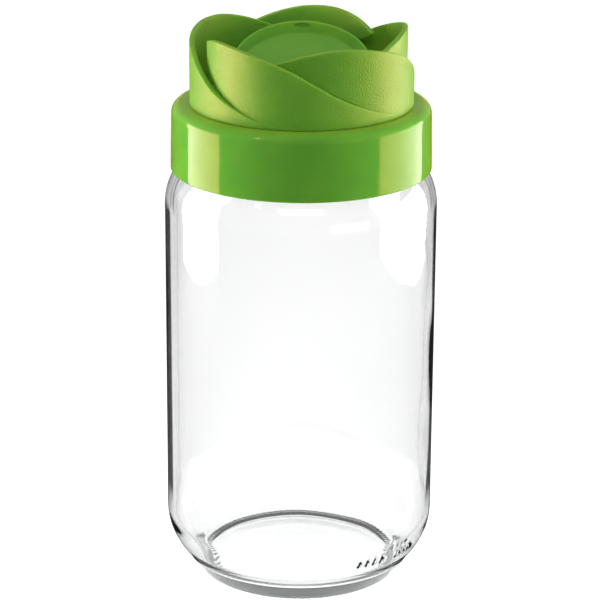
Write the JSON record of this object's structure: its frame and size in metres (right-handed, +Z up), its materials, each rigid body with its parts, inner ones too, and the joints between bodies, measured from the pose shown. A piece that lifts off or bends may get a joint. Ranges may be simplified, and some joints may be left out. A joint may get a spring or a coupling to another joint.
{
  "type": "storage jar with screw lid",
  "caption": "Clear glass storage jar with a rose-shaped plastic screw lid: round body, threaded neck, glossy collar, overlapping petals and a slanted bud.",
  "frame": {"origin": "middle of the base, in the plane that the jar rests on", "axes": "+Z up along the jar's axis; -Y is the front, which the slanted bud of the lid faces"},
  "size_m": [0.1, 0.1, 0.2085],
  "materials": {
    "clear_glass": "clear, fire polished",
    "gloss_green": "gloss",
    "matte_green": "fine spark texture",
    "satin_green": "satin",
    "liner_white": "soft foam"
  },
  "bodies": {
    "jar": {"glass_jar": "clear_glass"},
    "liner": {"sealing_liner": "liner_white"},
    "lid": {"screw_collar": "gloss_green", "rose_crown": "matte_green", "bud_cap": "satin_green"}
  },
  "joints": [
    {"name": "lid_lift", "type": "slide", "parent": "jar", "child": "liner", "axis": [0, 0, 1], "range_m": [0, 0.0301]},
    {"name": "lid_turn", "type": "hinge", "parent": "liner", "child": "lid", "pos_m": [0, 0, 0.1785], "axis": [0, 0, 1], "range_deg": [0, 1800]}
  ],
  "couplings": [
    {"joint": "lid_lift", "follows": "lid_turn", "m_per_rad": 0.00095493}
  ]
}
